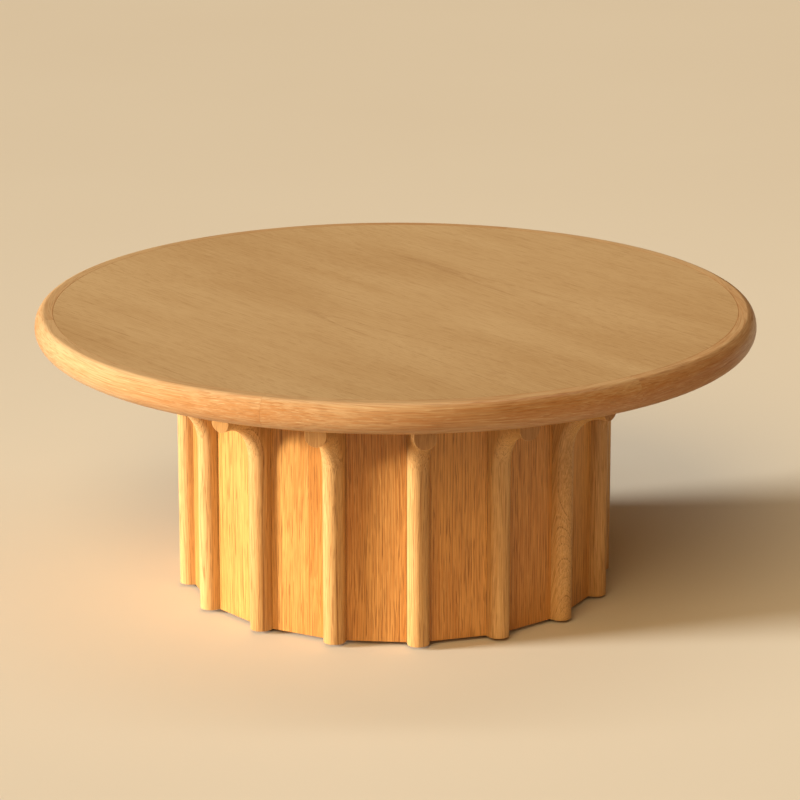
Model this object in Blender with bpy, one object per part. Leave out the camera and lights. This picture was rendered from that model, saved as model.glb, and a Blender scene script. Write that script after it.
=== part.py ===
"""Round oak coffee table on a ribbed drum.

A veneered top with a solid lipping rests on upright ribs whose upper ends sweep outwards into short arms.
Flat boards close the bays between the ribs, and two notched formers inside the drum keep the ribs in place.
Lengths are metres, +Z is up, the origin is on the floor under the middle of the table, and one rib faces -Y.
An azimuth is counted from -Y towards +X.
"""
import math

import bmesh
import bpy
from mathutils import Matrix

# Table top and its lipping
TABLE_HEIGHT = 0.400
TOP_DIAMETER = 1.000
TOP_THICKNESS = 0.044
LIPPING_WIDTH = 0.0255
LIPPING_COUNT = 6
LIPPING_JOINT_AZIMUTH = math.radians(33.75)
UPPER_ROUND_WIDTH = 0.014
UPPER_ROUND_HEIGHT = 0.021
LOWER_ROUND_WIDTH = 0.024
LIPPING_TONGUE_THICKNESS = 0.008
LIPPING_TONGUE_LENGTH = 0.008

# Ribs
RIB_COUNT = 16
RIB_WIDTH = 0.030
RIB_NOSE_RADIUS = 0.3055
RIB_BACKING = 0.020
SWEEP_RADIUS = 0.056
ARM_FLAT = 0.008
ARM_DEPTH = 0.0555
NOSE_FLAT = 0.0004

# Drum panels
PANEL_SETBACK = 0.023
PANEL_THICKNESS = 0.015
PANEL_FOOT_GAP = 0.001
PANEL_TONGUE_THICKNESS = 0.006
PANEL_TONGUE_LENGTH = 0.006

# Formers
FORMER_THICKNESS = 0.018
LOWER_FORMER_HEIGHT = 0.040

# Screws that hold the top down on the upper former
SCREW_COUNT = 8
SCREW_INSET = 0.055
SCREW_BITE = 0.022
SCREW_DIAMETER = 0.005
SCREW_POINT_LENGTH = 0.005
SCREW_HEAD_DIAMETER = 0.010
SCREW_HEAD_HEIGHT = 0.004

# Glides under every second rib
GLIDE_SPACING = 2
GLIDE_DIAMETER = 0.020
GLIDE_THICKNESS = 0.004
GLIDE_CHAMFER = 0.001
GLIDE_PIN_DIAMETER = 0.004
GLIDE_PIN_LENGTH = 0.012

# Gap left between two pieces that meet, and how far a cutter reaches past what it cuts
FIT = 0.0003
CUT_MARGIN = 0.002

# Facets
RIM_STEPS = 96
ROUND_STEPS = 6
SWEEP_STEPS = 8
NOSE_STEPS = 5
GLIDE_STEPS = 16
SCREW_STEPS = 12
SHARP_ANGLE = math.radians(35)

# Heights
TOP_UNDERSIDE = TABLE_HEIGHT - TOP_THICKNESS
RIB_TOP = TOP_UNDERSIDE - FIT
RIB_BOTTOM = GLIDE_THICKNESS + FIT
ARM_UNDERSIDE = RIB_TOP - ARM_DEPTH
UPPER_FORMER_HEIGHT = RIB_TOP - FORMER_THICKNESS

# Radii, from the rim inwards
TOP_RADIUS = TOP_DIAMETER / 2
SEAM_RADIUS = TOP_RADIUS - LIPPING_WIDTH
PANEL_FACE_RADIUS = RIB_NOSE_RADIUS - PANEL_SETBACK
PANEL_BACK_RADIUS = PANEL_FACE_RADIUS - PANEL_THICKNESS
RIB_BACK_RADIUS = PANEL_BACK_RADIUS - RIB_BACKING
RIB_LAP_RADIUS = RIB_BACK_RADIUS + RIB_BACKING / 2
GLIDE_CIRCLE_RADIUS = (RIB_NOSE_RADIUS + RIB_BACK_RADIUS) / 2
FORMER_RADIUS = PANEL_BACK_RADIUS - FIT
SCREW_CIRCLE_RADIUS = FORMER_RADIUS - SCREW_INSET

# Angles
RIB_PITCH = 2 * math.pi / RIB_COUNT
HALF_PITCH = RIB_PITCH / 2
SCREW_PITCH = 2 * math.pi / SCREW_COUNT
LIPPING_PITCH = 2 * math.pi / LIPPING_COUNT


def clear_scene():
    for item in list(bpy.data.objects):
        bpy.data.objects.remove(item, do_unlink=True)


def finish(name, colour, roughness, metallic=0.0):
    """Material with one colour."""
    material = bpy.data.materials.new(name)
    material.use_nodes = True
    shader = material.node_tree.nodes["Principled BSDF"]
    shader.inputs["Base Color"].default_value = (*colour, 1.0)
    shader.inputs["Roughness"].default_value = roughness
    shader.inputs["Metallic"].default_value = metallic
    return material


def finished_mesh(bm, name):
    """Mesh of a closed body, with its faces out and its round faces smooth."""
    bmesh.ops.recalc_face_normals(bm, faces=bm.faces)
    mesh = bpy.data.meshes.new(name)
    bm.to_mesh(mesh)
    bm.free()
    mesh.shade_smooth()
    mesh.set_sharp_from_angle(angle=SHARP_ANGLE)
    return mesh


def carved_mesh(bm, name, cutter):
    """Mesh of a closed body with a cutter taken out of it."""
    body = bpy.data.objects.new(name, finished_mesh(bm, name))
    tool = bpy.data.objects.new(name + "_cutter", finished_mesh(cutter, name + "_cutter"))
    tool.hide_render = True
    tool.display_type = "WIRE"
    for item in (body, tool):
        bpy.context.scene.collection.objects.link(item)
    cut = body.modifiers.new("cut", "BOOLEAN")
    cut.operation = "DIFFERENCE"
    cut.solver = "EXACT"
    cut.object = tool
    graph = bpy.context.evaluated_depsgraph_get()
    mesh = bpy.data.meshes.new_from_object(body.evaluated_get(graph))
    for item in (body, tool):
        bpy.data.objects.remove(item, do_unlink=True)
    mesh.set_sharp_from_angle(angle=SHARP_ANGLE)
    return mesh


def place(name, mesh, material, azimuth=0.0):
    """Puts a piece in the table, turned about the table's axis."""
    piece = bpy.data.objects.new(name, mesh)
    if not mesh.materials:
        mesh.materials.append(material)
    piece.rotation_euler.z = azimuth
    piece.parent = table
    bpy.context.scene.collection.objects.link(piece)


def prism(bm, near, far):
    """Closed body between two outlines with as many corners, and the corners of each."""
    ends = []
    for outline in (near, far):
        corners = [bm.verts.new(point) for point in outline]
        bm.faces.new(corners)
        ends.append(corners)
    near_corners, far_corners = ends
    for index, corner in enumerate(near_corners):
        previous = index - 1
        bm.faces.new((near_corners[previous], corner, far_corners[index], far_corners[previous]))
    return near_corners, far_corners


def upright(bm, plan, bottom, top):
    """Prism that stands on a plan of (across, out from the axis) points, and all its corners."""
    near, far = prism(bm, [(u, -v, bottom) for u, v in plan], [(u, -v, top) for u, v in plan])
    return near + far


def turned(bm, profile, steps):
    """Body turned about the Z axis from a profile of (radius, height) that starts and ends on the axis."""
    corners = [bm.verts.new((radius, 0, height)) for radius, height in profile]
    edges = [bm.edges.new(pair) for pair in zip(corners, corners[1:])]
    bmesh.ops.spin(
        bm,
        geom=corners + edges,
        axis=(0, 0, 1),
        cent=(0, 0, 0),
        angle=2 * math.pi,
        steps=steps,
        use_merge=True,
    )
    bmesh.ops.remove_doubles(bm, verts=bm.verts, dist=FIT / 10)


def around_axis(azimuth, radius):
    """Matrix that carries a body at the origin out to a circle round the table's axis."""
    return Matrix.Rotation(azimuth, 4, "Z") @ Matrix.Translation((0, -radius, 0))


def drill(bm, radius, bottom, top, at):
    """Adds a round cutter, upright, between two heights."""
    bmesh.ops.create_cone(
        bm,
        cap_ends=True,
        segments=SCREW_STEPS,
        radius1=radius,
        radius2=radius,
        depth=top - bottom,
        matrix=at @ Matrix.Translation((0, 0, (bottom + top) / 2)),
    )


def quarter_round(centre, width, height, start, steps):
    """Points of a quarter of an ellipse, turning from start by a right angle, clockwise."""
    points = []
    for step in range(steps + 1):
        angle = start - math.pi / 2 * step / steps
        points.append((centre[0] + width * math.cos(angle), centre[1] + height * math.sin(angle)))
    return points


def bay_half_width(radius):
    """Half of the room between two ribs, across the bay at a distance out from the table's axis."""
    return radius * math.tan(HALF_PITCH) - (RIB_WIDTH / 2 + FIT) / math.cos(HALF_PITCH)


def screw_azimuths():
    """Screws stand opposite the middle of a bay."""
    return [HALF_PITCH + index * SCREW_PITCH for index in range(SCREW_COUNT)]


def drill_for_screws(bm, bottom, top):
    for azimuth in screw_azimuths():
        drill(bm, SCREW_DIAMETER / 2 + FIT, bottom, top, around_axis(azimuth, SCREW_CIRCLE_RADIUS))


# Where the tongue round the top panel lies, halfway up its edge
TONGUE_MIDDLE = TOP_UNDERSIDE + TOP_THICKNESS / 2
TONGUE_BOTTOM = TONGUE_MIDDLE - LIPPING_TONGUE_THICKNESS / 2
TONGUE_TOP = TONGUE_MIDDLE + LIPPING_TONGUE_THICKNESS / 2


def top_panel_mesh():
    """Round board with a tongue round its edge and blind holes for the screws."""
    edge = SEAM_RADIUS - FIT
    tongue = edge + LIPPING_TONGUE_LENGTH
    bm = bmesh.new()
    turned(
        bm,
        [
            (0, TABLE_HEIGHT),
            (edge, TABLE_HEIGHT),
            (edge, TONGUE_TOP),
            (tongue, TONGUE_TOP),
            (tongue, TONGUE_BOTTOM),
            (edge, TONGUE_BOTTOM),
            (edge, TOP_UNDERSIDE),
            (0, TOP_UNDERSIDE),
        ],
        RIM_STEPS,
    )
    cutter = bmesh.new()
    drill_for_screws(cutter, TOP_UNDERSIDE - CUT_MARGIN, TOP_UNDERSIDE + SCREW_BITE + FIT)
    return carved_mesh(bm, "top_panel", cutter)


def lipping_profile():
    """Section of the lipping as (radius, height): rounded outside, grooved inside for the panel's tongue."""
    widest = TABLE_HEIGHT - UPPER_ROUND_HEIGHT
    lower_height = TOP_THICKNESS - UPPER_ROUND_HEIGHT
    upper_centre = (TOP_RADIUS - UPPER_ROUND_WIDTH, widest)
    lower_centre = (TOP_RADIUS - LOWER_ROUND_WIDTH, widest)
    upper = quarter_round(upper_centre, UPPER_ROUND_WIDTH, UPPER_ROUND_HEIGHT, math.pi / 2, ROUND_STEPS)
    lower = quarter_round(lower_centre, LOWER_ROUND_WIDTH, lower_height, 0, ROUND_STEPS)
    groove = SEAM_RADIUS + LIPPING_TONGUE_LENGTH
    inside = [
        (SEAM_RADIUS, TOP_UNDERSIDE),
        (SEAM_RADIUS, TONGUE_BOTTOM - FIT),
        (groove, TONGUE_BOTTOM - FIT),
        (groove, TONGUE_TOP + FIT),
        (SEAM_RADIUS, TONGUE_TOP + FIT),
        (SEAM_RADIUS, TABLE_HEIGHT),
    ]
    return upper + lower[1:] + inside


def lipping_mesh():
    """One segment of the lipping, which starts at azimuth 0."""
    joint = FIT / TOP_RADIUS
    bm = bmesh.new()
    corners = [bm.verts.new((0, -radius, height)) for radius, height in lipping_profile()]
    bm.faces.new(corners)
    bmesh.ops.spin(
        bm,
        geom=bm.verts[:] + bm.edges[:] + bm.faces[:],
        axis=(0, 0, 1),
        cent=(0, 0, 0),
        angle=LIPPING_PITCH - joint,
        steps=round(RIM_STEPS / LIPPING_COUNT),
    )
    return finished_mesh(bm, "edge_lipping")


def rib_outline():
    """A rib seen from its side, as (radius, height), and how many of its first points run along the nose."""
    sweep_centre = (RIB_NOSE_RADIUS + SWEEP_RADIUS, ARM_UNDERSIDE - SWEEP_RADIUS)
    arm_end = sweep_centre[0] + ARM_FLAT
    nose = [(RIB_NOSE_RADIUS, RIB_BOTTOM)]
    nose += quarter_round(sweep_centre, SWEEP_RADIUS, SWEEP_RADIUS, math.pi, SWEEP_STEPS)
    nose.append((arm_end, ARM_UNDERSIDE))
    lower_former_top = LOWER_FORMER_HEIGHT + FORMER_THICKNESS
    back = [
        (arm_end, RIB_TOP),
        (RIB_LAP_RADIUS, RIB_TOP),
        (RIB_LAP_RADIUS, UPPER_FORMER_HEIGHT - FIT),
        (RIB_BACK_RADIUS, UPPER_FORMER_HEIGHT - FIT),
        (RIB_BACK_RADIUS, lower_former_top + FIT),
        (RIB_LAP_RADIUS, lower_former_top + FIT),
        (RIB_LAP_RADIUS, LOWER_FORMER_HEIGHT - FIT),
        (RIB_BACK_RADIUS, LOWER_FORMER_HEIGHT - FIT),
        (RIB_BACK_RADIUS, RIB_BOTTOM),
    ]
    return nose + back, len(nose)


# Where the tongue along a drum panel's edges lies, halfway through its thickness
PANEL_TONGUE_MIDDLE = PANEL_BACK_RADIUS + PANEL_THICKNESS / 2
PANEL_TONGUE_BACK = PANEL_TONGUE_MIDDLE - PANEL_TONGUE_THICKNESS / 2
PANEL_TONGUE_FACE = PANEL_TONGUE_MIDDLE + PANEL_TONGUE_THICKNESS / 2
PANEL_TONGUE_END = bay_half_width(PANEL_TONGUE_MIDDLE) + PANEL_TONGUE_LENGTH


def rib_mesh(has_glide):
    """Upright rib with a full-round nose, slots for its two panels and, where asked, a hole for a glide."""
    outline, nose_count = rib_outline()
    bm = bmesh.new()
    sides = prism(
        bm,
        [(-RIB_WIDTH / 2, -radius, height) for radius, height in outline],
        [(RIB_WIDTH / 2, -radius, height) for radius, height in outline],
    )
    nose_edges = []
    for corners in sides:
        nose_line = corners[:nose_count]
        nose_edges += [bm.edges.get(pair) for pair in zip(nose_line, nose_line[1:])]
    bmesh.ops.recalc_face_normals(bm, faces=bm.faces)
    bmesh.ops.bevel(
        bm,
        geom=nose_edges,
        offset=(RIB_WIDTH - NOSE_FLAT) / 2,
        offset_type="OFFSET",
        affect="EDGES",
        segments=NOSE_STEPS,
        profile=0.5,
        material=-1,
        clamp_overlap=False,
    )
    cutter = bmesh.new()
    for side in (-1, 1):
        mouth = side * (bay_half_width(PANEL_TONGUE_BACK) - PANEL_TONGUE_LENGTH)
        end = side * (PANEL_TONGUE_END + FIT)
        plan = [
            (mouth, PANEL_TONGUE_BACK - FIT),
            (end, PANEL_TONGUE_BACK - FIT),
            (end, PANEL_TONGUE_FACE + FIT),
            (mouth, PANEL_TONGUE_FACE + FIT),
        ]
        slot = upright(cutter, plan, RIB_BOTTOM - CUT_MARGIN, RIB_TOP + CUT_MARGIN)
        bmesh.ops.transform(cutter, matrix=Matrix.Rotation(-side * HALF_PITCH, 4, "Z"), verts=slot)
    if has_glide:
        pin_top = RIB_BOTTOM + GLIDE_PIN_LENGTH + FIT
        at = around_axis(0, GLIDE_CIRCLE_RADIUS)
        drill(cutter, GLIDE_PIN_DIAMETER / 2 + FIT, RIB_BOTTOM - CUT_MARGIN, pin_top, at)
    return carved_mesh(bm, "rib", cutter)


def drum_panel_mesh():
    """Flat board between two ribs, bevelled to their sides, with a tongue along each edge."""
    half_plan = [
        (bay_half_width(PANEL_FACE_RADIUS), PANEL_FACE_RADIUS),
        (bay_half_width(PANEL_TONGUE_FACE), PANEL_TONGUE_FACE),
        (PANEL_TONGUE_END, PANEL_TONGUE_FACE),
        (PANEL_TONGUE_END, PANEL_TONGUE_BACK),
        (bay_half_width(PANEL_TONGUE_BACK), PANEL_TONGUE_BACK),
        (bay_half_width(PANEL_BACK_RADIUS), PANEL_BACK_RADIUS),
    ]
    plan = half_plan + [(-across, out) for across, out in reversed(half_plan)]
    bm = bmesh.new()
    upright(bm, plan, RIB_BOTTOM + PANEL_FOOT_GAP, RIB_TOP)
    return finished_mesh(bm, "drum_panel")


def former_body(bottom):
    """Disc with a flat behind each panel and a notch for each rib."""
    notch = RIB_WIDTH / 2 + FIT
    floor = RIB_LAP_RADIUS - FIT
    flat = bay_half_width(FORMER_RADIUS)
    plan = []
    for index in range(RIB_COUNT):
        rib_azimuth = index * RIB_PITCH
        bay_azimuth = rib_azimuth + HALF_PITCH
        for azimuth, out, half in ((rib_azimuth, floor, notch), (bay_azimuth, FORMER_RADIUS, flat)):
            for across in (-half, half):
                corner_u = across * math.cos(azimuth) + out * math.sin(azimuth)
                corner_v = out * math.cos(azimuth) - across * math.sin(azimuth)
                plan.append((corner_u, corner_v))
    bm = bmesh.new()
    upright(bm, plan, bottom, bottom + FORMER_THICKNESS)
    return bm


def upper_former_mesh():
    cutter = bmesh.new()
    drill_for_screws(cutter, UPPER_FORMER_HEIGHT - CUT_MARGIN, RIB_TOP + CUT_MARGIN)
    return carved_mesh(former_body(UPPER_FORMER_HEIGHT), "upper_former", cutter)


def top_screw_mesh():
    """Pan-head screw, point up, on the screw circle at azimuth 0."""
    seat = UPPER_FORMER_HEIGHT - FIT
    tip = TOP_UNDERSIDE + SCREW_BITE
    shank = SCREW_DIAMETER / 2
    head = SCREW_HEAD_DIAMETER / 2
    bm = bmesh.new()
    turned(
        bm,
        [
            (0, tip),
            (shank, tip - SCREW_POINT_LENGTH),
            (shank, seat),
            (head, seat),
            (head, seat - SCREW_HEAD_HEIGHT),
            (0, seat - SCREW_HEAD_HEIGHT),
        ],
        SCREW_STEPS,
    )
    bm.transform(around_axis(0, SCREW_CIRCLE_RADIUS))
    return finished_mesh(bm, "top_screw")


def glide_mesh():
    """Nylon button with a pin, under the rib at azimuth 0."""
    button = GLIDE_DIAMETER / 2
    pin = GLIDE_PIN_DIAMETER / 2
    pin_top = RIB_BOTTOM + GLIDE_PIN_LENGTH
    bm = bmesh.new()
    turned(
        bm,
        [
            (0, pin_top),
            (pin, pin_top),
            (pin, GLIDE_THICKNESS),
            (button, GLIDE_THICKNESS),
            (button, GLIDE_CHAMFER),
            (button - GLIDE_CHAMFER, 0),
            (0, 0),
        ],
        GLIDE_STEPS,
    )
    bm.transform(around_axis(0, GLIDE_CIRCLE_RADIUS))
    return finished_mesh(bm, "glide")


clear_scene()
table = bpy.data.objects.new("table", None)
bpy.context.scene.collection.objects.link(table)

oak_veneer = finish("oak_veneer", (0.56, 0.36, 0.17), 0.45)
oak_lipping = finish("oak_lipping", (0.50, 0.28, 0.12), 0.40)
oak_rib = finish("oak_rib", (0.52, 0.31, 0.12), 0.50)
oak_board = finish("oak_board", (0.45, 0.23, 0.08), 0.50)
plywood = finish("plywood", (0.62, 0.47, 0.30), 0.70)
zinc_steel = finish("zinc_steel", (0.62, 0.62, 0.60), 0.35, metallic=1.0)
nylon = finish("nylon", (0.12, 0.10, 0.09), 0.60)

place("top_panel", top_panel_mesh(), oak_veneer)

segment = lipping_mesh()
for index in range(LIPPING_COUNT):
    place(f"edge_lipping_{index + 1}", segment, oak_lipping, LIPPING_JOINT_AZIMUTH + index * LIPPING_PITCH)

footed_rib = rib_mesh(has_glide=True)
plain_rib = rib_mesh(has_glide=False)
glide = glide_mesh()
for index in range(RIB_COUNT):
    azimuth = index * RIB_PITCH
    stands_on_glide = index % GLIDE_SPACING == 0
    place(f"rib_{index + 1:02d}", footed_rib if stands_on_glide else plain_rib, oak_rib, azimuth)
    if stands_on_glide:
        place(f"glide_{index // GLIDE_SPACING + 1}", glide, nylon, azimuth)

board = drum_panel_mesh()
for index in range(RIB_COUNT):
    place(f"drum_panel_{index + 1:02d}", board, oak_board, HALF_PITCH + index * RIB_PITCH)

place("upper_former", upper_former_mesh(), plywood)
place("lower_former", finished_mesh(former_body(LOWER_FORMER_HEIGHT), "lower_former"), plywood)

screw = top_screw_mesh()
for index, azimuth in enumerate(screw_azimuths()):
    place(f"top_screw_{index + 1}", screw, zinc_steel, azimuth)
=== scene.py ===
"""Round oak coffee table on a ribbed drum, dressed with its finishes.

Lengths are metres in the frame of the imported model: +Z is up, the floor is at 0, and rib 1 faces -Y.
An azimuth is counted from -Y towards +X. A piece that repeats round the table is modelled at azimuth 0 and
then turned into place.
"""
import math
import random

import bmesh
import bpy
from mathutils import Matrix, Vector


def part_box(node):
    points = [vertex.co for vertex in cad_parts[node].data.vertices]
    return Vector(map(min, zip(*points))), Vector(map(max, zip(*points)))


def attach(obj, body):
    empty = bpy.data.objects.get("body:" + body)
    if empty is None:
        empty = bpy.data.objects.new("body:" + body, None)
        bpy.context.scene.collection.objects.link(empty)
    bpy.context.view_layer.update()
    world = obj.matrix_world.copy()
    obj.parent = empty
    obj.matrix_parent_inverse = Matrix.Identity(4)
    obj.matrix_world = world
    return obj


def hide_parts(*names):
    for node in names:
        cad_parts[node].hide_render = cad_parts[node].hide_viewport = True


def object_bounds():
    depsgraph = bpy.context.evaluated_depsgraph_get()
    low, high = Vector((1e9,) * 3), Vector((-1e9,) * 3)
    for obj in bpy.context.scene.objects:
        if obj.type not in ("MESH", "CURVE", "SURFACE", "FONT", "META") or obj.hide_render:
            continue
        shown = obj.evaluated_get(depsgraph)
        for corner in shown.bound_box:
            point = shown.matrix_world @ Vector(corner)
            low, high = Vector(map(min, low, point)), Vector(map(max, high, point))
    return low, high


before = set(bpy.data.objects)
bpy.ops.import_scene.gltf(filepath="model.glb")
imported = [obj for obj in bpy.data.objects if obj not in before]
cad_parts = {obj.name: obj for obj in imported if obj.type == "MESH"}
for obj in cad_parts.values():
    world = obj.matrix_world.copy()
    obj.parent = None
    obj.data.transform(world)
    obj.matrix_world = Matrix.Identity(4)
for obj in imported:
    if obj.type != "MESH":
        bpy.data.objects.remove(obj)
cad_low, cad_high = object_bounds()

# Formers: two plywood discs inside the drum, notched round the rim for the ribs. The lower one keeps the
# ribs on their circle near the floor, and the upper one takes the screws that hold the top. Their sawn
# edges show the plies, and the arris is only just eased.
FORMER_EASING = 0.0006
SHARP_ANGLE = math.radians(35)
LEVEL_ANGLE = math.radians(1)
TINY = 0.00001
FLATS_WEIGHT = 100
PLY_THICKNESS = 0.0018
BIRCH_PALE = (0.66, 0.50, 0.32, 1.0)
BIRCH_DEEP = (0.47, 0.31, 0.17, 1.0)

# Densities are swells of tone to the metre. A roughness is its gain with the tone and its least value, and
# a relief is its depth and its strength.
FIBRES_ALONG, FIBRES_ACROSS, FIBRES_THROUGH = 4, 130, 700
FIBRE_DETAIL = 4
FIBRE_CONTRAST = (0.3, 0.75)
PLY_CLOUDS = (9, 6, 300)
CROSS_PLY_SHADE = 0.22
PLY_ROUGHNESS = (0.2, 0.55)
PLY_RELIEF = (0.0003, 0.4)


def feed(tree, socket, value):
    """Links a socket to another, or sets it to a plain value."""
    if isinstance(value, bpy.types.NodeSocket):
        tree.links.new(value, socket)
    else:
        socket.default_value = value


def calc(tree, operation, *values):
    """Result of a Math node."""
    made = tree.nodes.new("ShaderNodeMath")
    made.operation = operation
    for socket, value in zip(made.inputs, values):
        feed(tree, socket, value)
    return made.outputs[0]


def vector_calc(tree, operation, *values):
    """Vector from a Vector Math node."""
    made = tree.nodes.new("ShaderNodeVectorMath")
    made.operation = operation
    for socket, value in zip(made.inputs, values):
        feed(tree, socket, value)
    return made.outputs["Vector"]


def noise(tree, place, per_metre, detail=2.0):
    """Outputs of a Noise node with so many swells to the metre along each axis."""
    made = tree.nodes.new("ShaderNodeTexNoise")
    made.inputs["Scale"].default_value = 1.0
    made.inputs["Detail"].default_value = detail
    feed(tree, made.inputs["Vector"], vector_calc(tree, "MULTIPLY", place, per_metre))
    return made.outputs


def band(tree, value, low, high):
    """0 up to low, 1 from high, and a soft step between them."""
    made = tree.nodes.new("ShaderNodeMapRange")
    made.interpolation_type = "SMOOTHSTEP"
    feed(tree, made.inputs["Value"], value)
    feed(tree, made.inputs["From Min"], low)
    feed(tree, made.inputs["From Max"], high)
    return made.outputs["Result"]


def mixed(tree, share, first, second):
    """Colour between two others. The node has an A and a B for each kind of data, so these go by number."""
    made = tree.nodes.new("ShaderNodeMix")
    made.data_type = "RGBA"
    feed(tree, made.inputs["Factor"], share)
    feed(tree, made.inputs[6], first)
    feed(tree, made.inputs[7], second)
    return made.outputs[2]


def bumped(tree, height, depth, strength):
    """Normal of a surface that a height raises or sinks, by a depth in metres."""
    made = tree.nodes.new("ShaderNodeBump")
    made.inputs["Strength"].default_value = strength
    made.inputs["Distance"].default_value = depth
    feed(tree, made.inputs["Height"], height)
    return made.outputs["Normal"]


def own_place(tree):
    """Place on a piece, in metres."""
    return tree.nodes.new("ShaderNodeTexCoord").outputs["Object"]


def new_material(name):
    """Material with its node tree and its shader."""
    material = bpy.data.materials.new(name)
    material.use_nodes = True
    return material, material.node_tree, material.node_tree.nodes["Principled BSDF"]


def plywood_finish():
    """Birch plies that run crosswise in turn, pale along the grain and darker at their ends."""
    material, tree, shader = new_material("birch_plywood")
    place = own_place(tree)
    split = tree.nodes.new("ShaderNodeSeparateXYZ")
    feed(tree, split.inputs[0], place)
    ply = calc(tree, "FLOOR", calc(tree, "DIVIDE", split.outputs["Z"], PLY_THICKNESS))
    crosswise = calc(tree, "MODULO", ply, 2.0)
    along_x = noise(tree, place, (FIBRES_ALONG, FIBRES_ACROSS, FIBRES_THROUGH), FIBRE_DETAIL)["Fac"]
    along_y = noise(tree, place, (FIBRES_ACROSS, FIBRES_ALONG, FIBRES_THROUGH), FIBRE_DETAIL)["Fac"]
    streak = tree.nodes.new("ShaderNodeMix")
    feed(tree, streak.inputs["Factor"], crosswise)
    feed(tree, streak.inputs[2], along_x)
    feed(tree, streak.inputs[3], along_y)
    cloud = noise(tree, place, PLY_CLOUDS)["Fac"]
    tone = calc(tree, "MULTIPLY_ADD", cloud, 0.5, calc(tree, "MULTIPLY", streak.outputs[0], 0.5))
    shade = calc(tree, "MULTIPLY_ADD", crosswise, CROSS_PLY_SHADE, band(tree, tone, *FIBRE_CONTRAST))
    feed(tree, shader.inputs["Base Color"], mixed(tree, shade, BIRCH_PALE, BIRCH_DEEP))
    feed(tree, shader.inputs["Roughness"], calc(tree, "MULTIPLY_ADD", tone, *PLY_ROUGHNESS))
    feed(tree, shader.inputs["Normal"], bumped(tree, tone, *PLY_RELIEF))
    return material


def sharp_edges(bm):
    """Edges where the surface turns sharply."""
    return [edge for edge in bm.edges if edge.calc_face_angle(0) > SHARP_ANGLE]


def ease(bm, edges, width, segments=2):
    """Rounds edges over."""
    bmesh.ops.bevel(
        bm,
        geom=edges,
        offset=width,
        offset_type="OFFSET",
        affect="EDGES",
        segments=segments,
        profile=0.5,
        material=-1,
        clamp_overlap=False,
    )


def finished_mesh(bm, name):
    """Mesh with its faces out, round where it is round and crisp along its arrises."""
    bmesh.ops.recalc_face_normals(bm, faces=bm.faces)
    mesh = bpy.data.meshes.new(name)
    bm.to_mesh(mesh)
    bm.free()
    mesh.shade_smooth()
    mesh.set_sharp_from_angle(angle=SHARP_ANGLE)
    return mesh


def add_piece(name, mesh, material, node):
    """Puts a piece in place of a node of the frame. Its flats stay flat next to their eased arrises."""
    mesh.materials.append(material)
    piece = bpy.data.objects.new(name, mesh)
    bpy.context.scene.collection.objects.link(piece)
    flats = piece.modifiers.new("flats", "WEIGHTED_NORMAL")
    flats.mode = "FACE_AREA"
    flats.weight = FLATS_WEIGHT
    flats.keep_sharp = True
    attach(piece, "root")
    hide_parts(node)


def former_mesh(node):
    """The sawn disc with its arrises eased."""
    bm = bmesh.new()
    bm.from_mesh(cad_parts[node].data)
    bmesh.ops.remove_doubles(bm, verts=bm.verts, dist=TINY)
    bmesh.ops.dissolve_limit(bm, angle_limit=LEVEL_ANGLE, verts=bm.verts, edges=bm.edges)
    ease(bm, sharp_edges(bm), FORMER_EASING)
    return finished_mesh(bm, node)


birch_plywood = plywood_finish()
for level in ("lower", "upper"):
    node = f"{level}_former"
    add_piece(f"plywood_{node}", former_mesh(node), birch_plywood, node)


# Ribs: sixteen uprights, each sawn from one oak board with the grain upright, in one of them arched. The
# nose is rounded over to a full half round that follows the sweep out into the arm under the top. The arm
# ends in a flat sawn face, darkened with painted shade from the top's overhang, and laps at the back let
# the formers in.
RIB_COUNT = 16
SWEEP_RADIUS = 0.056
ARM_FLAT = 0.008
ARM_DEPTH = 0.0555
RIB_LAP = 0.010
LAP_PLAY = 0.0003
NOSE_FLAT = 0.0004
RIB_EASING = 0.0008
SWEEP_STEPS = 28
NOSE_SEGMENTS = 14
RIB_SEED = 16
LOG_LENGTH = 60
PITH_DEPTHS = (0.06, 0.14)
SLANT_DEGREES = 1.5
TONE_SPREAD = 0.08
ARCHED_RIB = 3
ARCHED_SLANT = math.radians(-13)
ARCHED_PITH = math.radians(-100)
ARCHED_CLOSENESS = 1.6
ARM_END_PAINTED_SHADE = 0.8
RIB_PALE = (0.68, 0.404, 0.158, 1.0)
RIB_DEEP = (0.47, 0.232, 0.071, 1.0)
PORE_BROWN = (0.19, 0.068, 0.015, 1.0)
RIB_PITCH = 2 * math.pi / RIB_COUNT

# The log's bends are given by their densities and their reach, and shares of a year run from 0 to 1
LOG_BENDS = (((2.5, 2.5, 1.6), 0.06), ((45, 45, 9), 0.004))
GROWTH_DENSITY = (110, 0, 0)
GROWTH_SPREAD = 0.004
EARLY_START = (0.0, 0.10)
EARLY_END = (0.42, 0.14)
LATE_RISE = 1.5
LATE_END = (0.93, 1.0)
LATE_MIDDLE = 0.35
LATE_HEIGHT = 0.25
DASH_DENSITY = (750, 750, 24)
DASH_CONTRAST = (0.52, 0.66)
LINE_DENSITY = (900, 900, 13)
LINE_CONTRAST = (0.38, 0.62)
LONE_PORES = 0.5
FLECK_DENSITY = (800, 800, 45)
FLECK_CONTRAST = (0.60, 0.74)
FLECK_TONE = -0.25
STREAK_DENSITY = (430, 430, 11)
CLOUD_DENSITY = (9, 9, 2.2)
CLOUD_TONE = 1.1
MIDDLE_TONE = 0.45
OAK_ROUGHNESS = 0.40
CLOUD_ROUGHNESS = 0.10
STREAK_ROUGHNESS = 0.12
PORE_ROUGHNESS = 0.18
OAK_RELIEF = (0.00015, 0.35)
LACQUER_SPECULAR = 0.3
LACQUER_WEIGHT = 0.15
LACQUER_ROUGHNESS = 0.25

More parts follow.
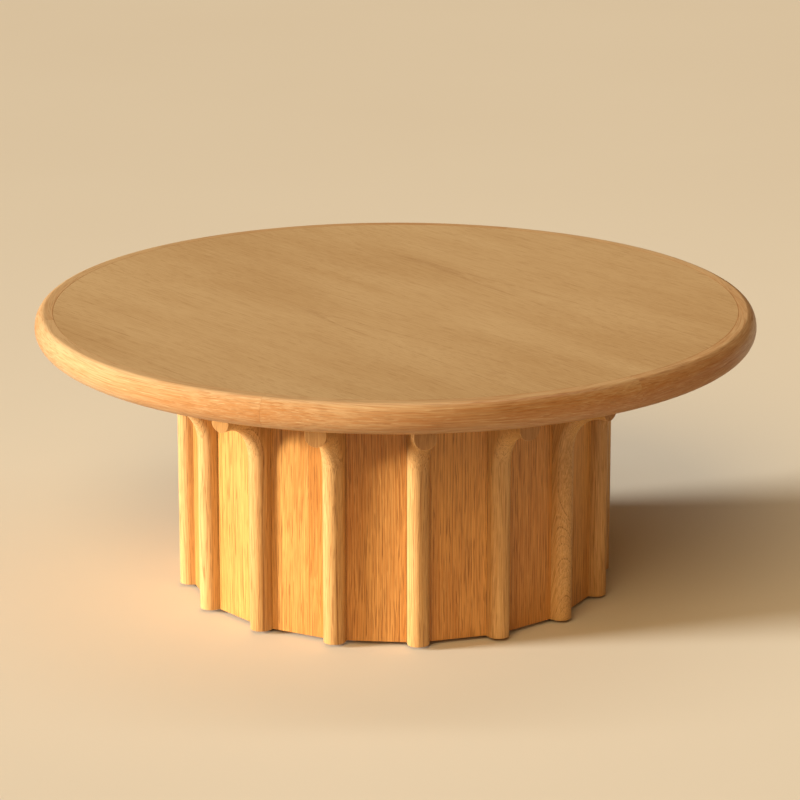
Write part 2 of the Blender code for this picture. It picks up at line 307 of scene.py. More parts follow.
rib_low, rib_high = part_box("rib_01")
rib_width = rib_high.x - rib_low.x
arm_end = -rib_low.y
arm_underside = rib_high.z - ARM_DEPTH
rib_nose = arm_end - ARM_FLAT - SWEEP_RADIUS


def oak_grain():
    """Node group for oak sawn from a log: year rings round its axis, pores along it and slow turns of tone.

    Board is the place in the log in metres, with its axis along Z. Tone makes a board paler or darker.
    Open Years goes from 0, where no year's early wood shows as a dark line, up to 2, where all do.
    """
    tree = bpy.data.node_groups.new("oak_grain", "ShaderNodeTree")
    for name, kind in (
        ("Board", "NodeSocketVector"),
        ("Tone", "NodeSocketFloat"),
        ("Ring Width", "NodeSocketFloat"),
        ("Wander", "NodeSocketFloat"),
        ("Figure", "NodeSocketFloat"),
        ("Streaks", "NodeSocketFloat"),
        ("Open Years", "NodeSocketFloat"),
        ("Pores", "NodeSocketFloat"),
        ("Pale", "NodeSocketColor"),
        ("Deep", "NodeSocketColor"),
        ("Pore Colour", "NodeSocketColor"),
    ):
        tree.interface.new_socket(name, in_out="INPUT", socket_type=kind)
    for name, kind in (
        ("Color", "NodeSocketColor"),
        ("Roughness", "NodeSocketFloat"),
        ("Height", "NodeSocketFloat"),
    ):
        tree.interface.new_socket(name, in_out="OUTPUT", socket_type=kind)
    given = tree.nodes.new("NodeGroupInput").outputs
    made = tree.nodes.new("NodeGroupOutput").inputs
    board = given["Board"]

    # The log's axis wanders, which bends the rings into arches on a flat-sawn face
    sideways = tree.nodes.new("ShaderNodeCombineXYZ")
    feed(tree, sideways.inputs["X"], given["Wander"])
    feed(tree, sideways.inputs["Y"], given["Wander"])
    grown = board
    for per_metre, reach in LOG_BENDS:
        swell = vector_calc(tree, "SUBTRACT", noise(tree, board, per_metre)["Color"], (0.5, 0.5, 0.5))
        shift = vector_calc(tree, "MULTIPLY", swell, (reach, reach, 0))
        grown = vector_calc(tree, "MULTIPLY_ADD", shift, sideways.outputs[0], grown)
    spoke = tree.nodes.new("ShaderNodeVectorMath")
    spoke.operation = "LENGTH"
    feed(tree, spoke.inputs[0], vector_calc(tree, "MULTIPLY", grown, (1, 1, 0)))
    from_pith = spoke.outputs["Value"]

    # Years are wide or narrow, and their early wood is open or close
    along_spoke = tree.nodes.new("ShaderNodeCombineXYZ")
    feed(tree, along_spoke.inputs["X"], from_pith)
    growth = noise(tree, along_spoke.outputs[0], GROWTH_DENSITY, detail=1)["Fac"]
    grown_out = calc(tree, "MULTIPLY_ADD", growth, GROWTH_SPREAD, from_pith)
    years = calc(tree, "DIVIDE", grown_out, given["Ring Width"])
    age = calc(tree, "FRACT", years)
    early = calc(tree, "MULTIPLY", band(tree, age, *EARLY_START), band(tree, age, *EARLY_END))
    late = calc(tree, "SUBTRACT", calc(tree, "POWER", age, LATE_RISE), band(tree, age, *LATE_END))
    weather = tree.nodes.new("ShaderNodeTexWhiteNoise")
    weather.noise_dimensions = "1D"
    feed(tree, weather.inputs["W"], calc(tree, "FLOOR", years))
    closed_share = calc(tree, "SUBTRACT", 1.0, given["Open Years"])
    open_year = band(tree, weather.outputs["Value"], closed_share, 1.0)

    # Pores are fine dashes, most of them in the early wood, where they also run together into longer lines
    dashes = band(tree, noise(tree, grown, DASH_DENSITY)["Fac"], *DASH_CONTRAST)
    lines = band(tree, noise(tree, grown, LINE_DENSITY)["Fac"], *LINE_CONTRAST)
    crowded = calc(tree, "MULTIPLY", early, open_year)
    pores = calc(tree, "MULTIPLY", dashes, calc(tree, "MULTIPLY_ADD", crowded, 1 - LONE_PORES, LONE_PORES))
    pores = calc(tree, "MAXIMUM", pores, calc(tree, "MULTIPLY", lines, crowded))

    # Rays catch the light as short pale flecks, and the tone of the wood turns slowly across the board
    flecks = band(tree, noise(tree, grown, FLECK_DENSITY, detail=1)["Fac"], *FLECK_CONTRAST)
    streak = calc(tree, "SUBTRACT", noise(tree, grown, STREAK_DENSITY, detail=3)["Fac"], 0.5)
    cloud = calc(tree, "SUBTRACT", noise(tree, board, CLOUD_DENSITY)["Fac"], 0.5)
    tone = calc(tree, "MULTIPLY_ADD", cloud, CLOUD_TONE, calc(tree, "ADD", given["Tone"], MIDDLE_TONE))
    tone = calc(tree, "MULTIPLY_ADD", calc(tree, "SUBTRACT", late, LATE_MIDDLE), given["Figure"], tone)
    tone = calc(tree, "MULTIPLY_ADD", streak, given["Streaks"], tone)
    tone = calc(tree, "MULTIPLY_ADD", flecks, FLECK_TONE, tone)
    clear_wood = mixed(tree, band(tree, tone, 0.0, 1.0), given["Pale"], given["Deep"])
    in_pores = calc(tree, "MULTIPLY", pores, given["Pores"])
    brown = calc(tree, "MAXIMUM", in_pores, band(tree, tone, 1.0, 2.0))
    feed(tree, made["Color"], mixed(tree, brown, clear_wood, given["Pore Colour"]))
    satin = calc(tree, "MULTIPLY_ADD", streak, STREAK_ROUGHNESS, OAK_ROUGHNESS)
    satin = calc(tree, "MULTIPLY_ADD", cloud, CLOUD_ROUGHNESS, satin)
    feed(tree, made["Roughness"], calc(tree, "MULTIPLY_ADD", pores, PORE_ROUGHNESS, satin))
    feed(tree, made["Height"], calc(tree, "SUBTRACT", calc(tree, "MULTIPLY", late, LATE_HEIGHT), pores))
    return tree


oak_group = oak_grain()


def oak_finish(name, pale, deep, **character):
    """Oak under a thin satin lacquer. The mesh gives each board's place in the log and its tone."""
    material, tree, shader = new_material(name)
    grain = tree.nodes.new("ShaderNodeGroup")
    grain.node_tree = oak_group
    for attribute, output, socket in (("board", "Vector", "Board"), ("tone", "Fac", "Tone")):
        given = tree.nodes.new("ShaderNodeAttribute")
        given.attribute_name = attribute
        feed(tree, grain.inputs[socket], given.outputs[output])
    for trait, value in character.items():
        grain.inputs[trait.replace("_", " ").title()].default_value = value
    grain.inputs["Pale"].default_value = pale
    grain.inputs["Deep"].default_value = deep
    grain.inputs["Pore Colour"].default_value = PORE_BROWN
    feed(tree, shader.inputs["Base Color"], grain.outputs["Color"])
    feed(tree, shader.inputs["Roughness"], grain.outputs["Roughness"])
    feed(tree, shader.inputs["Normal"], bumped(tree, grain.outputs["Height"], *OAK_RELIEF))
    shader.inputs["Specular IOR Level"].default_value = LACQUER_SPECULAR
    shader.inputs["Coat Weight"].default_value = LACQUER_WEIGHT
    shader.inputs["Coat Roughness"].default_value = LACQUER_ROUGHNESS
    return material


def saw_from_log(mesh, in_log, tone_of):
    """Writes each vertex's place in the log it was sawn from, and the tone of its board."""
    for name, kind in (("board", "FLOAT_VECTOR"), ("tone", "FLOAT")):
        mesh.attributes.new(name, kind, "POINT")
    boards, tones = mesh.attributes["board"].data, mesh.attributes["tone"].data
    for vertex, board, tone in zip(mesh.vertices, boards, tones):
        board.vector = in_log(vertex.co)
        tone.value = tone_of(vertex.co)


def log_place(draw, across, depth):
    """Where a board lies in its log: so far across and so deep from the pith, and anywhere along it."""
    return Matrix.Translation((across, depth, draw.uniform(0, LOG_LENGTH)))


def join_up(bm, corners):
    """Edges along a row of corners."""
    for pair in zip(corners, corners[1:]):
        bm.edges.new(pair)


def draw_out(bm, faces, step):
    """Extrudes flat faces into a solid."""
    drawn = bmesh.ops.extrude_face_region(bm, geom=faces)["geom"]
    corners = [item for item in drawn if isinstance(item, bmesh.types.BMVert)]
    bmesh.ops.translate(bm, verts=corners, vec=step)


def on_rib_nose(vertex):
    """Whether a corner is on the line of the nose, the sweep and the arm's underside."""
    return -vertex.co.y > rib_nose - TINY and vertex.co.z < arm_underside + TINY


def rib_mesh(name):
    """Rib at azimuth 0: its side is drawn, given its width, and its nose rounded over."""
    lower_former, upper_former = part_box("lower_former"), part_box("upper_former")
    lap = -rib_high.y + RIB_LAP
    side = rib_low.x
    bm = bmesh.new()
    sweep_start = bm.verts.new((side, -rib_nose, arm_underside - SWEEP_RADIUS))
    sweep = bmesh.ops.spin(
        bm,
        geom=[sweep_start],
        axis=(1, 0, 0),
        cent=(side, -rib_nose - SWEEP_RADIUS, arm_underside - SWEEP_RADIUS),
        angle=math.pi / 2,
        steps=SWEEP_STEPS,
    )
    outline = sweep["geom_last"][:1]
    for radius, height in (
        (arm_end, arm_underside),
        (arm_end, rib_high.z),
        (lap, rib_high.z),
        (lap, upper_former[0].z - LAP_PLAY),
        (-rib_high.y, upper_former[0].z - LAP_PLAY),
        (-rib_high.y, lower_former[1].z + LAP_PLAY),
        (lap, lower_former[1].z + LAP_PLAY),
        (lap, lower_former[0].z - LAP_PLAY),
        (-rib_high.y, lower_former[0].z - LAP_PLAY),
        (-rib_high.y, rib_low.z),
        (rib_nose, rib_low.z),
    ):
        outline.append(bm.verts.new((side, -radius, height)))
    outline.append(sweep_start)
    join_up(bm, outline)
    bmesh.ops.edgeloop_fill(bm, edges=bm.edges[:])
    draw_out(bm, bm.faces[:], (rib_width, 0, 0))
    bmesh.ops.recalc_face_normals(bm, faces=bm.faces)
    nose_arrises = [
        edge for edge in bm.edges
        if all(on_rib_nose(vertex) for vertex in edge.verts) and edge.verts[0].co.x * edge.verts[1].co.x > 0
    ]
    ease(bm, nose_arrises, (rib_width - NOSE_FLAT) / 2, NOSE_SEGMENTS)
    arm_arrises = [
        edge for edge in bm.edges
        if all(-vertex.co.y > arm_end - TINY for vertex in edge.verts)
        and min(vertex.co.z for vertex in edge.verts) < rib_high.z - TINY
    ]
    foot_arrises = [
        edge for edge in bm.edges
        if all(vertex.co.z < rib_low.z + TINY for vertex in edge.verts)
    ]
    ease(bm, arm_arrises + foot_arrises, RIB_EASING)
    return finished_mesh(bm, name)


oak_rib = oak_finish(
    "oak_rib", RIB_PALE, RIB_DEEP,
    ring_width=0.0030, wander=0.4, figure=0.2, streaks=0.9, open_years=1.4, pores=0.85,
)
draw = random.Random(RIB_SEED)
for number in range(1, RIB_COUNT + 1):
    mesh = rib_mesh(f"oak_rib_{number:02d}")
    slant = math.radians(draw.gauss(0, SLANT_DEGREES))
    pith = draw.uniform(0, 2 * math.pi)
    depth = draw.uniform(*PITH_DEPTHS)
    closeness = 1.0
    if number == ARCHED_RIB:
        slant, pith, closeness = ARCHED_SLANT, ARCHED_PITH, ARCHED_CLOSENESS
    to_log = (
        log_place(draw, depth * math.cos(pith), depth * math.sin(pith))
        @ Matrix.Diagonal((closeness, closeness, 1, 1))
        @ Matrix.Rotation(slant, 4, "X")
        @ Matrix.Translation((0, rib_nose, 0))
    )
    tone = draw.gauss(0, TONE_SPREAD)
    # The arm's sawn end gets a deeper tone, which is painted shade from the top's overhang
    saw_from_log(mesh, lambda co: to_log @ co, lambda co: tone + ARM_END_PAINTED_SHADE * (-co.y > arm_end - TINY))
    mesh.transform(Matrix.Rotation((number - 1) * RIB_PITCH, 4, "Z"))
    add_piece(mesh.name, mesh, oak_rib, f"rib_{number:02d}")


# Glides: eight turned nylon buttons, each with a pin driven up into the foot of every second rib. The face
# that slides on the floor has a rounded edge.
GLIDE_STEPS = 40
GLIDE_EDGE_STEPS = 6
GLIDE_EDGE = 0.0012
GLIDE_PLAY = 0.0003
PIN_RADIUS = 0.002
RIBS_PER_GLIDE = 2
NYLON_BROWN = (0.060, 0.045, 0.036, 1.0)
NYLON_GREY = (0.105, 0.088, 0.075, 1.0)
NYLON_MOTTLE = (900, 900, 900)
SCUFF_DENSITY = (2200, 160, 160)
SCUFF_CONTRAST = (0.55, 0.75)
NYLON_ROUGHNESS = (0.3, 0.4)
NYLON_RELIEF = (0.0001, 0.3)


def nylon_finish():
    """Dark moulded nylon with a fine mottle, scuffed where it slides."""
    material, tree, shader = new_material("brown_nylon")
    place = own_place(tree)
    mottle = noise(tree, place, NYLON_MOTTLE, detail=4)["Fac"]
    scuff = band(tree, noise(tree, place, SCUFF_DENSITY, detail=3)["Fac"], *SCUFF_CONTRAST)
    tone = calc(tree, "MULTIPLY_ADD", scuff, 0.5, calc(tree, "MULTIPLY", mottle, 0.5))
    feed(tree, shader.inputs["Base Color"], mixed(tree, tone, NYLON_BROWN, NYLON_GREY))
    feed(tree, shader.inputs["Roughness"], calc(tree, "MULTIPLY_ADD", tone, *NYLON_ROUGHNESS))
    feed(tree, shader.inputs["Normal"], bumped(tree, mottle, *NYLON_RELIEF))
    return material


def glide_mesh(name):
    """Button turned about the upright axis through its pin, at azimuth 0."""
    low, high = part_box("glide_1")
    middle = (low + high) / 2
    button = (high.x - low.x) / 2
    seat = rib_low.z - GLIDE_PLAY
    bm = bmesh.new()
    edge_start = bm.verts.new((button - GLIDE_EDGE, 0, low.z))
    edge = bmesh.ops.spin(
        bm,
        geom=[edge_start],
        axis=(0, -1, 0),
        cent=(button - GLIDE_EDGE, 0, low.z + GLIDE_EDGE),
        angle=math.pi / 2,
        steps=GLIDE_EDGE_STEPS,
    )
    outline = [bm.verts.new((0, 0, low.z)), edge_start]
    bm.edges.new(outline)
    upper = edge["geom_last"][:1]
    for radius, height in ((button, seat), (PIN_RADIUS, seat), (PIN_RADIUS, high.z), (0, high.z)):
        upper.append(bm.verts.new((radius, 0, height)))
    join_up(bm, upper)
    bmesh.ops.spin(
        bm,
        geom=bm.verts[:] + bm.edges[:],
        axis=(0, 0, 1),
        cent=(0, 0, 0),
        angle=2 * math.pi,
        steps=GLIDE_STEPS,
        use_merge=True,
    )
    bmesh.ops.remove_doubles(bm, verts=bm.verts, dist=TINY)
    bmesh.ops.translate(bm, verts=bm.verts, vec=(middle.x, middle.y, 0))
    return finished_mesh(bm, name)


brown_nylon = nylon_finish()
for index in range(0, RIB_COUNT, RIBS_PER_GLIDE):
    number = index // RIBS_PER_GLIDE + 1
    mesh = glide_mesh(f"nylon_glide_{number}")
    mesh.transform(Matrix.Rotation(index * RIB_PITCH, 4, "Z"))
    add_piece(mesh.name, mesh, brown_nylon, f"glide_{number}")


# Drum panels: sixteen flat oak boards that close the bays between the ribs, glued into them with a fine
# line at each side. They are rift sawn, so the grain runs upright in close, straight lines, and one is
# glued up from two staves of different tone.
PANEL_SETBACK = 0.023
PANEL_THICKNESS = 0.015
PANEL_PLAY = 0.0003
PANEL_EASING = 0.0004
STAVED_PANEL = 15
STAVE_JOINT_SHARE = 0.21
STAVE_GAP_SHARE = 0.0005
STAVE_TONE = 0.15
PANEL_SEED = 41
RIFT_ACROSS = (0.10, 0.16)
RIFT_SHIFT = (-0.05, 0.05)
BOARD_PALE = (0.68, 0.338, 0.092, 1.0)
BOARD_DEEP = (0.46, 0.175, 0.036, 1.0)

panel_face = rib_nose - PANEL_SETBACK
panel_back = panel_face - PANEL_THICKNESS


def bay_half_width(radius):
    """Half of the room between two ribs, across the bay at a distance out from the table's axis."""
    rib_room = rib_width / 2 + PANEL_PLAY
    return radius * math.tan(RIB_PITCH / 2) - rib_room / math.cos(RIB_PITCH / 2)


def add_stave(bm, left, right):
    """Upright stave between two shares of the bay's width, which runs from -0.5 to 0.5."""
    low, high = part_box(f"drum_panel_{STAVED_PANEL:02d}")
    corners = []
    for radius, shares in ((panel_face, (left, right)), (panel_back, (right, left))):
        for share in shares:
            corners.append(bm.verts.new((2 * share * bay_half_width(radius), -radius, low.z)))
    draw_out(bm, [bm.faces.new(corners)], (0, 0, high.z - low.z))


def stave_log(draw):
    """Rift-sawn place in the log: the rings cross the face steeply."""
    side = draw.choice((-1, 1))
    return log_place(draw, side * draw.uniform(*RIFT_ACROSS), panel_face + draw.uniform(*RIFT_SHIFT))


def panel_mesh(name, draw, staves):
    """Board at azimuth 0, of one stave or two."""
    bm = bmesh.new()
    for left, right in staves:
        add_stave(bm, left, right)
    bmesh.ops.recalc_face_normals(bm, faces=bm.faces)
    ease(bm, bm.edges[:], PANEL_EASING)
    mesh = finished_mesh(bm, name)
    logs = stave_log(draw), stave_log(draw)
    tones = draw.gauss(0, TONE_SPREAD), STAVE_TONE
    joint = staves[0][1]

    def stave_at(co):
        return int(co.x > 2 * joint * bay_half_width(-co.y) + TINY)

    saw_from_log(mesh, lambda co: logs[stave_at(co)] @ co, lambda co: tones[stave_at(co)])
    return mesh


oak_board = oak_finish(
    "oak_board", BOARD_PALE, BOARD_DEEP,
    ring_width=0.0040, wander=0.25, figure=0.4, streaks=1.2, open_years=1.6, pores=1.0,
)
draw = random.Random(PANEL_SEED)
for number in range(1, RIB_COUNT + 1):
    staves = [(-0.5, 0.5)]
    if number == STAVED_PANEL:
        staves = [(-0.5, STAVE_JOINT_SHARE), (STAVE_JOINT_SHARE + STAVE_GAP_SHARE, 0.5)]
    mesh = panel_mesh(f"oak_panel_{number:02d}", draw, staves)
    mesh.transform(Matrix.Rotation((number - 0.5) * RIB_PITCH, 4, "Z"))
    add_piece(mesh.name, mesh, oak_board, f"drum_panel_{number:02d}")


# Top panel: a round core board veneered with crown-cut oak, and screwed down from inside the drum. The
# leaves are book-matched: every other one is turned over, so that straight grain meets at the joints and
# the arches run down the middle of each leaf.
TOP_STEPS = 288
TOP_EASING = 0.00012
SEAM_RADIUS = 0.4744
LEAF_WIDTH = 0.295
LEAF_JOINT = 0.0325
LEAF_DEPTHS = (0.0210, 0.0328, 0.0310, 0.0240)
LEAF_HEIGHT = 22.5
GRAIN_AZIMUTH = math.radians(-57)
LEAF_TAPER = math.radians(2)
VENEER_PALE = (0.541, 0.372, 0.186, 1.0)
VENEER_DEEP = (0.406, 0.246, 0.104, 1.0)

top_low, top_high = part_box("top_panel")


def top_mesh(name):
    """Disc cut along the joints of its leaves, because each leaf has its own place in the log."""
    bm = bmesh.new()
    bmesh.ops.create_circle(
        bm,
        cap_ends=True,
        segments=TOP_STEPS,
        radius=SEAM_RADIUS,
        matrix=Matrix.Translation((0, 0, top_low.z)),
    )
    draw_out(bm, bm.faces[:], (0, 0, top_high.z - top_low.z))
    bmesh.ops.recalc_face_normals(bm, faces=bm.faces)
    ease(bm, sharp_edges(bm), TOP_EASING)
    turn = Matrix.Rotation(GRAIN_AZIMUTH, 4, "Z")
    across = turn @ Vector((0, 1, 0))
    first_leaf = -math.ceil((SEAM_RADIUS + LEAF_JOINT) / LEAF_WIDTH)
    leaves = range(first_leaf, math.ceil((SEAM_RADIUS - LEAF_JOINT) / LEAF_WIDTH))
    for leaf in leaves:
        bmesh.ops.bisect_plane(
            bm,
            geom=bm.verts[:] + bm.edges[:] + bm.faces[:],
            plane_co=across * (LEAF_JOINT + leaf * LEAF_WIDTH),
            plane_no=across,
        )
    mesh = finished_mesh(bm, name)
    # The grain lies along the log's axis, and the sheet's thickness is depth in the log
    to_log = Matrix(((0, 1, 0), (0, 0, 1), (1, 0, 0))).to_4x4() @ turn.inverted()
    depths = dict(zip(leaves, LEAF_DEPTHS))
    board = mesh.attributes.new("board", "FLOAT_VECTOR", "CORNER")
    for face in mesh.polygons:
        leaf = math.floor((face.center.dot(across) - LEAF_JOINT) / LEAF_WIDTH)
        middle = LEAF_JOINT + (leaf + 0.5) * LEAF_WIDTH
        to_leaf = (
            Matrix.Translation((0, depths[leaf], LEAF_HEIGHT))
            @ Matrix.Rotation(LEAF_TAPER, 4, "X")
            @ Matrix.Diagonal(((-1) ** leaf, 1, 1, 1))
            @ Matrix.Translation((-middle, -top_high.z, 0))
            @ to_log
        )
        for corner in face.loop_indices:
            vertex = mesh.vertices[mesh.loops[corner].vertex_index]
            board.data[corner].vector = to_leaf @ vertex.co
    return mesh


oak_veneer = oak_finish(
    "oak_veneer", VENEER_PALE, VENEER_DEEP,
    ring_width=0.0060, wander=0.45, figure=0.15, streaks=0.4, open_years=0.40, pores=0.45,
)
mesh = top_mesh("oak_top_panel")
add_piece(mesh.name, mesh, oak_veneer, "top_panel")


# Edge lipping: six solid oak segments, sawn to the curve from straight boards and glued round the panel
# with a fine dark line. The edge is then rounded over, more softly below than above, and sanded flush with
# the veneer. Each segment has its own tone, and painted shade deepens it from the flat to the rounded edge.
LIPPING_COUNT = 6
LIPPING_JOINT_AZIMUTH = math.radians(33.75)
LIPPING_JOINT = 0.0001
LIPPING_INSIDE = SEAM_RADIUS + LIPPING_JOINT
LIPPING_EASING = 0.00010
GLUE_LINE = 0.0009
GLUE_TONE = 1.0
EDGE_PAINTED_SHADE = 0.52
LIPPING_STEPS = 60
ROUND_STEPS = 18
UPPER_ROUND = (0.014, 0.021)
LOWER_ROUND = (0.024, 0.023)
RUN_OUT = 0.14
LIPPING_SEED = 5
LIPPING_ACROSS = (-0.03, 0.03)
LIPPING_DEPTHS = (0.06, 0.12)
LIPPING_TONES = (-0.08, -0.22, -0.18, -0.28, -0.28, -0.21)
LIPPING_PALE = (0.525, 0.345, 0.168, 1.0)
LIPPING_DEEP = (0.362, 0.148, 0.042, 1.0)
LIPPING_PITCH = 2 * math.pi / LIPPING_COUNT

rim_radius = cad_high.x


def lipping_mesh(name):
    """Segment that starts at azimuth 0: its section is drawn and swung round the table's axis."""
    bm = bmesh.new()
    widest = top_high.z - UPPER_ROUND[1]
    ends = []
    for (width, height), turn in ((UPPER_ROUND, -1), (LOWER_ROUND, 1)):
        middle = Vector((0, width - rim_radius, widest))
        before = set(bm.verts)
        first = bm.verts.new((0, -rim_radius, widest))
        arc = bmesh.ops.spin(
            bm,
            geom=[first],
            axis=(turn, 0, 0),
            cent=middle,
            angle=math.pi / 2,
            steps=ROUND_STEPS,
        )
        ends.append(arc["geom_last"][0])
        quarter = [vertex for vertex in bm.verts if vertex not in before]
        bmesh.ops.scale(bm, verts=quarter, vec=(1, 1, height / width), space=Matrix.Translation(-middle))
    upper_end, lower_end = ends
    inside = [
        upper_end,
        bm.verts.new((0, -LIPPING_INSIDE - GLUE_LINE, top_high.z)),
        bm.verts.new((0, -LIPPING_INSIDE, top_high.z)),
        bm.verts.new((0, -LIPPING_INSIDE, top_low.z)),
        lower_end,
    ]
    join_up(bm, inside)
    bmesh.ops.remove_doubles(bm, verts=bm.verts, dist=TINY)
    bmesh.ops.edgeloop_fill(bm, edges=bm.edges[:])
    bmesh.ops.spin(
        bm,
        geom=bm.verts[:] + bm.edges[:] + bm.faces[:],
        axis=(0, 0, 1),
        cent=(0, 0, 0),
        angle=LIPPING_PITCH - LIPPING_JOINT / rim_radius,
        steps=LIPPING_STEPS,
    )
    bmesh.ops.recalc_face_normals(bm, faces=bm.faces)
    ease(bm, sharp_edges(bm), LIPPING_EASING)
    return finished_mesh(bm, name)


def straightened(co):
    """Place in the straight board: the grain follows the edge and runs out towards both ends."""
    swing = math.atan2(co.x, -co.y) - LIPPING_PITCH / 2
    across = co.xy.length - rim_radius + RUN_OUT * rim_radius * swing ** 2
    return Vector((across, co.z - top_low.z, rim_radius * swing))


def edge_shade_and_glue(co):
    """How much painted shade deepens the tone round the edge, and how much the glue line darkens it."""
    # Painted shade: the edge gets darker the further the round turns down from the flat
    edge_shade = math.sqrt(min(max(top_high.z - co.z, 0) / UPPER_ROUND[1], 1))
    glued = co.xy.length < LIPPING_INSIDE + GLUE_LINE / 2
    return EDGE_PAINTED_SHADE * edge_shade + GLUE_TONE * glued


oak_lipping = oak_finish(
    "oak_lipping", LIPPING_PALE, LIPPING_DEEP,
    ring_width=0.0030, wander=0.4, figure=0.15, streaks=0.9, open_years=1.0, pores=0.6,
)
draw = random.Random(LIPPING_SEED)
for number, tone in enumerate(LIPPING_TONES, 1):
    mesh = lipping_mesh(f"oak_lipping_{number}")
    to_log = log_place(draw, draw.uniform(*LIPPING_ACROSS), draw.uniform(*LIPPING_DEPTHS))
    saw_from_log(mesh, lambda co: to_log @ straightened(co), lambda co: tone + edge_shade_and_glue(co))
    mesh.transform(Matrix.Rotation(LIPPING_JOINT_AZIMUTH + (number - 1) * LIPPING_PITCH, 4, "Z"))
    add_piece(mesh.name, mesh, oak_lipping, f"edge_lipping_{number}")


# Top screws: eight zinc-plated screws up through the upper former into the top panel. They are out of sight
# inside the drum and keep the shape of the frame's own nodes.
SCREW_COUNT = 8
ZINC_LIGHT = (0.68, 0.68, 0.66, 1.0)
ZINC_DARK = (0.42, 0.43, 0.44, 1.0)
ZINC_MOTTLE = (700, 700, 700)
ZINC_ROUGHNESS = (0.25, 0.22)
ZINC_RELIEF = (0.0001, 0.2)


def zinc_finish():
    """Bright zinc plating with a faint crystalline mottle."""
    material, tree, shader = new_material("zinc_plate")
    place = own_place(tree)
    mottle = noise(tree, place, ZINC_MOTTLE, detail=5)["Fac"]
    feed(tree, shader.inputs["Base Color"], mixed(tree, mottle, ZINC_DARK, ZINC_LIGHT))
    feed(tree, shader.inputs["Roughness"], calc(tree, "MULTIPLY_ADD", mottle, *ZINC_ROUGHNESS))
    feed(tree, shader.inputs["Normal"], bumped(tree, mottle, *ZINC_RELIEF))
    shader.inputs["Metallic"].default_value = 1.0
    return material


zinc_plate = zinc_finish()
for number in range(1, SCREW_COUNT + 1):
    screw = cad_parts[f"top_screw_{number}"]
    screw.data.materials.clear()
    screw.data.materials.append(zinc_plate)


# Floor: a plain pale studio floor, matt and faintly clouded. It lies a hair below the glides, and it can be
# looked through from below.
FLOOR_RADIUS = 30.0
FLOOR_STEPS = 96
FLOOR_DROP = 0.0005
FLOOR_CLOUDS = (0.9, 0.9, 0.9)
FLOOR_ROUGHNESS = 0.85
FLOOR_SPECULAR = 0.2
FLOOR_CREAM = (0.700, 0.641, 0.525, 1.0)
FLOOR_WARM = (0.670, 0.603, 0.487, 1.0)


def one_or_other(tree, share, first, second):
    """Shader that is the first at a share of 0 and the second at 1."""
    made = tree.nodes.new("ShaderNodeMixShader")
    for socket, value in zip(made.inputs, (share, first, second)):
        feed(tree, socket, value)
    return made.outputs["Shader"]


def floor_finish():
    """Matt cream with slow clouds of tone, and clear from behind."""
    material, tree, shader = new_material("cream_floor")
    place = own_place(tree)
    cloud = noise(tree, place, FLOOR_CLOUDS, detail=3)["Fac"]
    feed(tree, shader.inputs["Base Color"], mixed(tree, cloud, FLOOR_CREAM, FLOOR_WARM))
    shader.inputs["Roughness"].default_value = FLOOR_ROUGHNESS
    shader.inputs["Specular IOR Level"].default_value = FLOOR_SPECULAR
    clear = tree.nodes.new("ShaderNodeBsdfTransparent")
    below = tree.nodes.new("ShaderNodeNewGeometry").outputs["Backfacing"]
    surface = one_or_other(tree, below, shader.outputs["BSDF"], clear.outputs["BSDF"])
    feed(tree, tree.nodes["Material Output"].inputs["Surface"], surface)
    return material


bm = bmesh.new()
bmesh.ops.create_circle(bm, cap_ends=True, segments=FLOOR_STEPS, radius=FLOOR_RADIUS)
bmesh.ops.translate(bm, verts=bm.verts, vec=(0, 0, -FLOOR_DROP))
floor_mesh = bpy.data.meshes.new("studio_floor")
bm.to_mesh(floor_mesh)
bm.free()
floor_mesh.materials.append(floor_finish())
floor = bpy.data.objects.new("studio_floor", floor_mesh)
bpy.context.scene.collection.objects.link(floor)


# Light: a bright key low on the left and a broad warm fill from the front left, both kept out of the
# lacquer's gloss so that they don't glare off the top. A strip overhead gives the rim its sheen, a faint
# lamp lights the drum from below, and the surround is a warm glow with a pale backdrop where it is in view.
VIEW_AZIMUTH = math.radians(-6.0)
KEY_AZIMUTH = VIEW_AZIMUTH - math.radians(79)
KEY_ELEVATION = math.radians(12)
KEY_ANGLE = math.radians(16)
KEY_STRENGTH = 8.0
KEY_COLOUR = (1.0, 0.99, 0.94)
FILL_AZIMUTH = VIEW_AZIMUTH - math.radians(20)
FILL_ELEVATION = math.radians(38)
FILL_ANGLE = math.radians(40)
FILL_STRENGTH = 1.85
FILL_COLOUR = (1.0, 0.74, 0.41)
STRIP_HEIGHT = 2.2
STRIP_SIZE = (2.6, 0.3)
STRIP_POWER = 9.0
STRIP_COLOUR = (1.0, 0.94, 0.86)
LAMP_HEIGHT = 0.007
LAMP_SIZE = (0.40, 0.40)
LAMP_POWER = 0.2
SURROUND = (1.0, 0.60, 0.31, 1.0)
SURROUND_STRENGTH = 0.15
BACKDROP = (0.70, 0.54, 0.35, 1.0)


def add_light(name, kind, colour, energy):
    """Light of a kind, at the origin."""
    source = bpy.data.lights.new(name, kind)
    source.color = colour
    source.energy = energy
    light = bpy.data.objects.new(name, source)
    bpy.context.scene.collection.objects.link(light)
    return light


def add_far_light(name, colour, strength, angle, azimuth, elevation):
    """Light from far off, as broad as its angle, which leaves no glare."""
    light = add_light(name, "SUN", colour, strength)
    light.data.angle = angle
    light.rotation_euler = (math.pi / 2 - elevation, 0, azimuth)
    light.visible_glossy = False


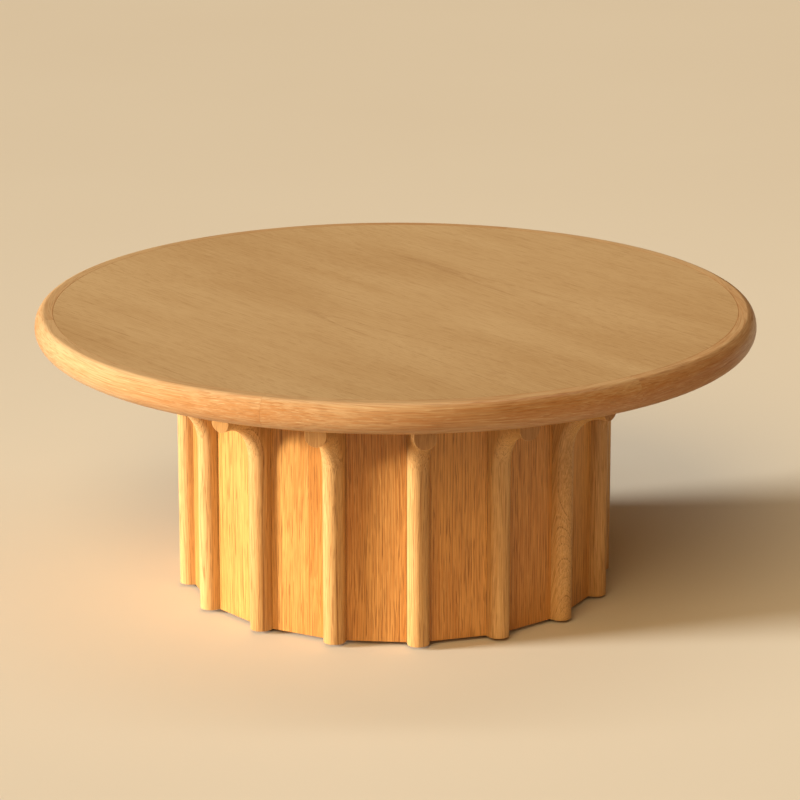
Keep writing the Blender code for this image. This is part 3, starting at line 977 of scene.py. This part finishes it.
def add_panel_light(name, colour, power, size, height):
    """Flat light on the table's axis, facing down."""
    light = add_light(name, "AREA", colour, power)
    light.data.shape = "RECTANGLE"
    light.data.size, light.data.size_y = size
    light.location.z = height
    return light


add_far_light("key", KEY_COLOUR, KEY_STRENGTH, KEY_ANGLE, KEY_AZIMUTH, KEY_ELEVATION)
add_far_light("fill", FILL_COLOUR, FILL_STRENGTH, FILL_ANGLE, FILL_AZIMUTH, FILL_ELEVATION)
strip = add_panel_light("strip", STRIP_COLOUR, STRIP_POWER, STRIP_SIZE, STRIP_HEIGHT)
strip.rotation_euler.z = VIEW_AZIMUTH
lamp = add_panel_light("lamp", STRIP_COLOUR, LAMP_POWER, LAMP_SIZE, LAMP_HEIGHT)
lamp.rotation_euler.x = math.pi

world = bpy.data.worlds.new("surround")
world.use_nodes = True
sky = world.node_tree
surround = sky.nodes["Background"]
surround.inputs["Color"].default_value = SURROUND
surround.inputs["Strength"].default_value = SURROUND_STRENGTH
backdrop = sky.nodes.new("ShaderNodeBackground")
backdrop.inputs["Color"].default_value = BACKDROP
in_view = sky.nodes.new("ShaderNodeLightPath").outputs["Is Camera Ray"]
seen = one_or_other(sky, in_view, surround.outputs["Background"], backdrop.outputs["Background"])
feed(sky, sky.nodes["World Output"].inputs["Surface"], seen)
bpy.context.scene.world = world
bpy.context.scene.view_settings.view_transform = "Standard"


# Camera: a long lens some five metres off, a little left of the front rib, looking down on the top.
CAMERA_DISTANCE = 5.0275
CAMERA_HEIGHT = 1.7245
CAMERA_PITCH = math.radians(16.22)
CAMERA_PAN = -0.0012
CAMERA_LENS = 168.345
CAMERA_SENSOR = 36.0

lens = bpy.data.cameras.new("camera")
lens.sensor_width = CAMERA_SENSOR
lens.lens = CAMERA_LENS
camera = bpy.data.objects.new("camera", lens)
bpy.context.scene.collection.objects.link(camera)
camera.location = (
    CAMERA_DISTANCE * math.sin(VIEW_AZIMUTH),
    -CAMERA_DISTANCE * math.cos(VIEW_AZIMUTH),
    CAMERA_HEIGHT,
)
camera.rotation_euler = (math.pi / 2 - CAMERA_PITCH, 0, VIEW_AZIMUTH + CAMERA_PAN)
bpy.context.scene.camera = camera
